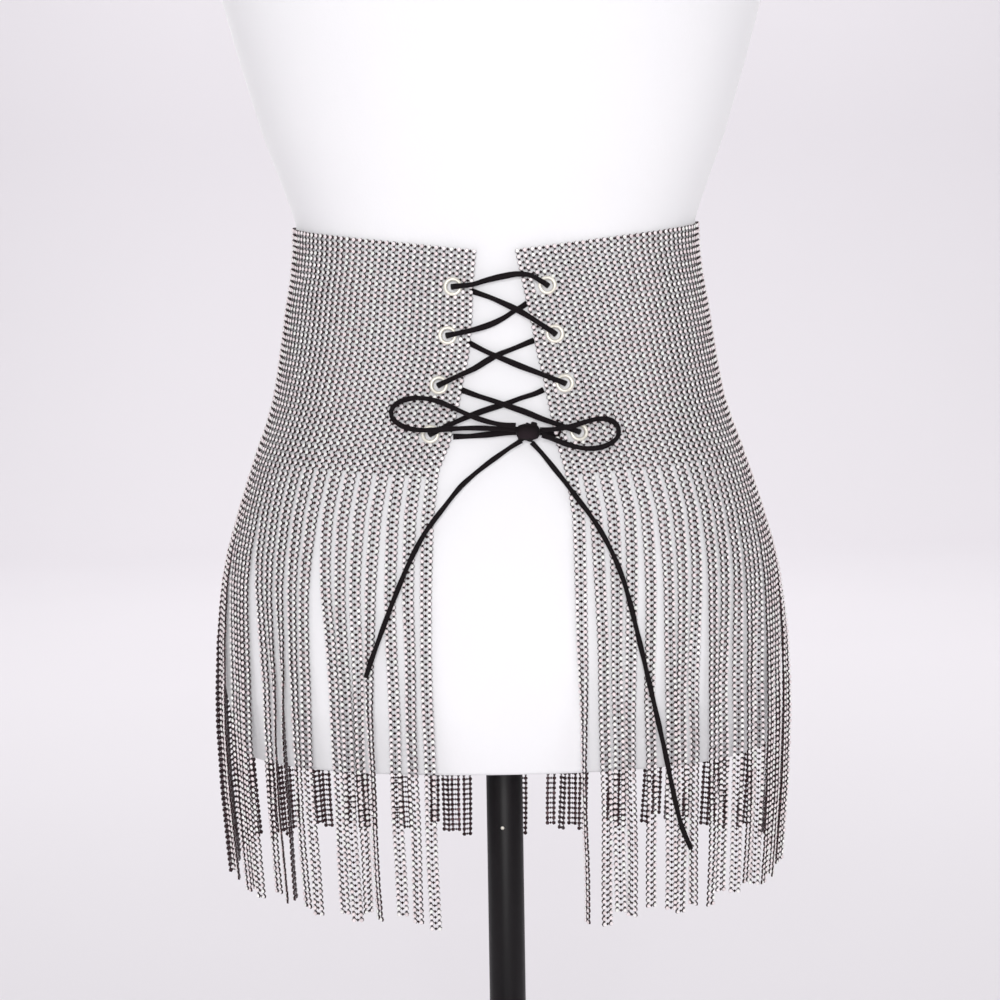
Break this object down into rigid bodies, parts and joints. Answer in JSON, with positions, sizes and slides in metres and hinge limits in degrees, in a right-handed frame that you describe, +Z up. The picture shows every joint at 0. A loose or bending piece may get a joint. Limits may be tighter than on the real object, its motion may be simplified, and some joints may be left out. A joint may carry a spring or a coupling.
{
  "type": "rhinestone corset belt on a limbless dress form",
  "caption": "Rhinestone mesh corset belt with a long fringe, laced at the front with a black cord, on a plain limbless dress form with a pole and a round base.",
  "frame": {"origin": "centre of the round base on the surface that it stands on", "axes": "+Z up the pole, -Y towards the laced front, +X towards the right side as seen from the front"},
  "size_m": [0.326, 0.3, 1.012],
  "materials": {
    "crystal_mesh": "clear stones in dark cups",
    "black_cord": "matte",
    "eyelet_metal": "polished pale",
    "white_form": "matte jersey",
    "black_stand": "satin"
  },
  "bodies": {
    "root": {"stand_base": "black_stand", "stand_pole": "black_stand", "dress_form": "white_form", "mesh_band": "crystal_mesh", "fringe_front_right": "crystal_mesh", "fringe_back_right": "crystal_mesh", "fringe_back_left": "crystal_mesh", "fringe_front_left": "crystal_mesh", "eyelet_left_1": "eyelet_metal", "eyelet_left_2": "eyelet_metal", "eyelet_left_3": "eyelet_metal", "eyelet_left_4": "eyelet_metal", "eyelet_right_1": "eyelet_metal", "eyelet_right_2": "eyelet_metal", "eyelet_right_3": "eyelet_metal", "eyelet_right_4": "eyelet_metal", "lace_top_bar": "black_cord", "lace_cross_1_over": "black_cord", "lace_cross_1_under": "black_cord", "lace_cross_2_over": "black_cord", "lace_cross_2_under": "black_cord", "lace_cross_3_over": "black_cord", "lace_cross_3_under": "black_cord", "lace_end_left": "black_cord", "lace_end_right": "black_cord", "lace_knot": "black_cord", "bow_loop_left": "black_cord", "bow_loop_right": "black_cord", "lace_tail_left": "black_cord", "lace_tail_right": "black_cord"}
  },
  "joints": []
}
